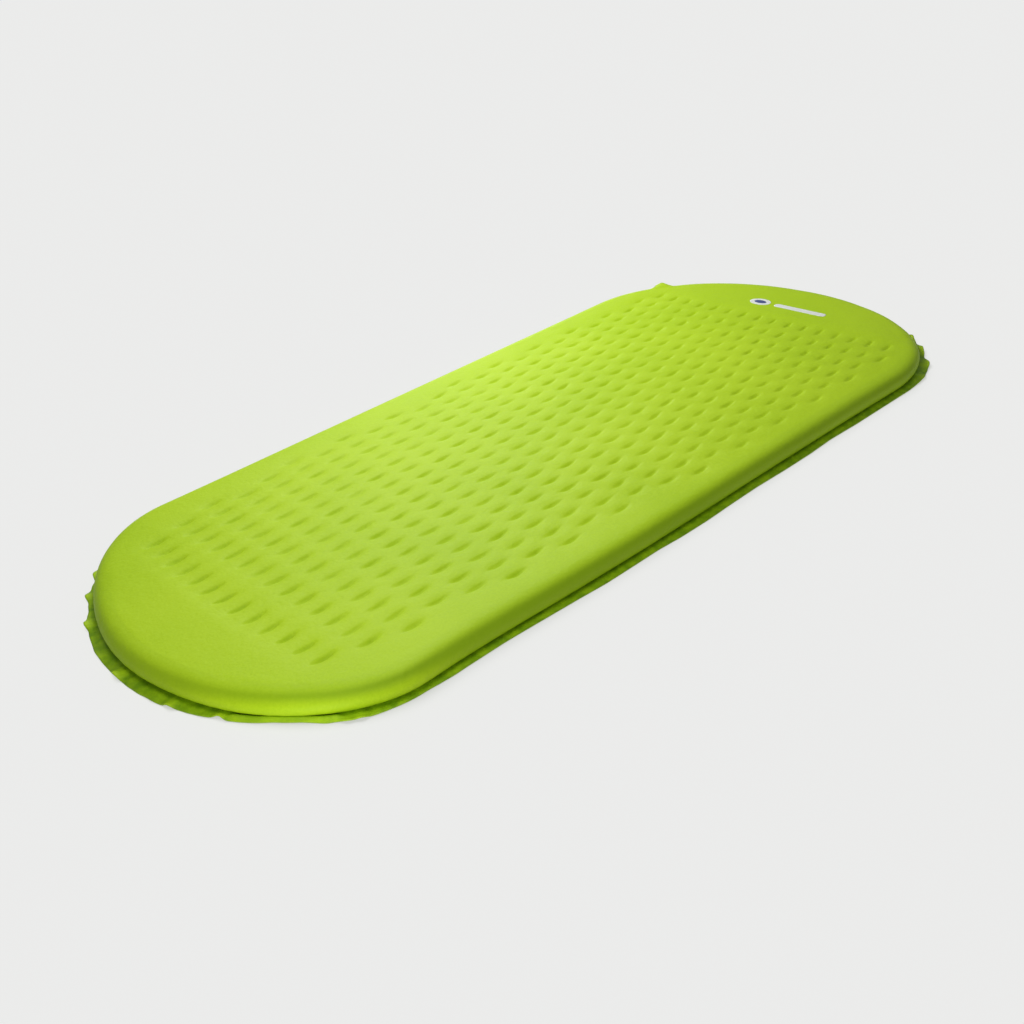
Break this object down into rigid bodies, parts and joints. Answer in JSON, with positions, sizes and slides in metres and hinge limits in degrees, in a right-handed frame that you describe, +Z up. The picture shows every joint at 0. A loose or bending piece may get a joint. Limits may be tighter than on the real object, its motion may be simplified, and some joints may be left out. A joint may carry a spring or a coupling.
{
  "type": "self-inflating sleeping pad",
  "caption": "Tapered self-inflating foam sleeping pad with rounded ends, a dimpled top, a welded edge flange and a corner twist valve.",
  "frame": {"origin": "on the ground, under the middle of the pad's bounding box", "axes": "+X along the pad to its head end, +Y to the left side seen lying on the back with the head at +X, +Z up, out of the sleeping surface"},
  "size_m": [1.2, 0.5399, 0.0252],
  "materials": {
    "cover_fabric": "satin",
    "base_fabric": "matte",
    "foam": "matte",
    "film": "gloss",
    "print_light": "satin",
    "print_dark": "satin",
    "valve_plastic": "satin",
    "knob_plastic": "satin",
    "filter_mesh": "matte",
    "ring_plastic": "satin",
    "seal_rubber": "matte"
  },
  "bodies": {
    "mat": {"top_cover": "cover_fabric", "bottom_cover": "base_fabric", "foam_core": "foam", "top_bond_film": "film", "bottom_bond_film": "film", "print_panel": "print_light", "print_bar": "print_light", "print_spot": "print_dark", "valve_body": "valve_plastic", "valve_filter": "filter_mesh", "retaining_ring": "ring_plastic", "spigot_seal": "seal_rubber"},
    "gasket": {"knob_gasket": "seal_rubber"},
    "knob": {"valve_knob": "knob_plastic"}
  },
  "joints": [
    {"name": "knob_lift", "type": "slide", "parent": "mat", "child": "gasket", "axis": [0.5765, 0.8171, 0], "range_m": [0, 0.00275]},
    {"name": "knob_turn", "type": "hinge", "parent": "gasket", "child": "knob", "pos_m": [0.49359, 0.23851, 0.0095], "axis": [0.5765, 0.8171, 0], "range_deg": [0, 660]}
  ],
  "couplings": [
    {"joint": "knob_turn", "follows": "knob_lift", "rad_per_m": 4188.7}
  ]
}
